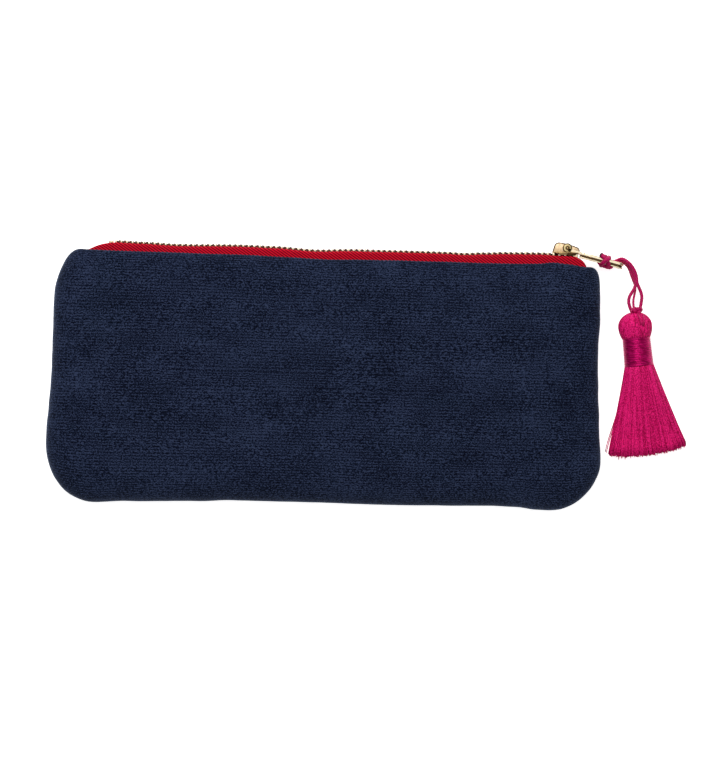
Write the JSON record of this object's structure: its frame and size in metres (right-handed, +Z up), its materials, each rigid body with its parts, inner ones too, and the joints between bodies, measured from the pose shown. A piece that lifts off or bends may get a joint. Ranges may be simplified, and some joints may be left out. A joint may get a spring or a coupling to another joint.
{
  "type": "zippered pouch",
  "caption": "Flat padded velvet pouch with a metal zip along its top edge and a yarn tassel tied to the zip pull.",
  "frame": {"origin": "middle of the back panel's flat resting face", "axes": "+X along the zip towards its closed end, +Y from the bottom seam to the zip, +Z up out of the front panel"},
  "size_m": [0.2429, 0.1008, 0.014],
  "materials": {
    "velvet": "short dark blue pile with fine ribs",
    "interlining": "pale bonded wadding",
    "lining": "plain woven lining",
    "thread": "dark blue sewing thread",
    "zip_tape": "red twill tape",
    "zip_metal": "polished pale gold",
    "slider_metal": "polished pale gold",
    "cord": "twisted magenta cord",
    "tassel_yarn": "satin magenta yarn",
    "binding_thread": "close wound satin thread"
  },
  "bodies": {
    "back_half": {"back_panel": "velvet", "back_interlining": "interlining", "back_lining": "lining", "seam_stitches": "thread", "back_zip_stitches": "thread", "back_zip_tape": "zip_tape", "back_zip_teeth": "zip_metal", "back_top_stop": "zip_metal", "bottom_stop": "zip_metal"},
    "front_half": {"front_panel": "velvet", "front_interlining": "interlining", "front_lining": "lining", "front_zip_stitches": "thread", "front_zip_tape": "zip_tape", "front_zip_teeth": "zip_metal", "front_top_stop": "zip_metal"},
    "slider": {"slider_body": "slider_metal", "slider_bridge": "slider_metal"},
    "pull": {"pull_tab": "slider_metal", "pull_pin": "slider_metal", "cord_hitch": "cord"},
    "cord": {"cord_strand_left": "cord", "cord_strand_inner": "cord", "cord_strand_right": "cord"},
    "tassel": {"tassel_head": "tassel_yarn", "tassel_binding": "binding_thread", "tassel_skirt": "tassel_yarn"}
  },
  "joints": [
    {"name": "slider_slide", "type": "slide", "parent": "back_half", "child": "slider", "axis": [1, 0, 0], "range_m": [-0.1665, 0], "deforming": ["front_zip_tape", "back_zip_tape", "front_zip_teeth", "back_zip_teeth", "cord_strand_left", "cord_strand_inner", "cord_strand_right", "tassel_head", "tassel_binding", "tassel_skirt"]},
    {"name": "mouth_open", "type": "hinge", "parent": "back_half", "child": "front_half", "pos_m": [0, -0.0465, 0.0055], "axis": [1, 0, 0], "range_deg": [0, 13]},
    {"name": "pull_swing", "type": "hinge", "parent": "slider", "child": "pull", "pos_m": [0.0913, 0.05305, 0.0055], "axis": [0, 0, 1], "range_deg": [0, 170]},
    {"name": "tassel_swing", "type": "hinge", "parent": "pull", "child": "cord", "pos_m": [0.10627, 0.04945, 0.0055], "axis": [0, 0, 1], "range_deg": [0, 50]},
    {"name": "tassel_lift", "type": "slide", "parent": "cord", "child": "tassel", "axis": [0, 0, 1], "range_m": [0, 0.0145]}
  ],
  "couplings": [
    {"joint": "mouth_open", "follows": "slider_slide", "rad_per_m": -1.362},
    {"joint": "tassel_lift", "follows": "slider_slide", "ratio": -0.087}
  ]
}
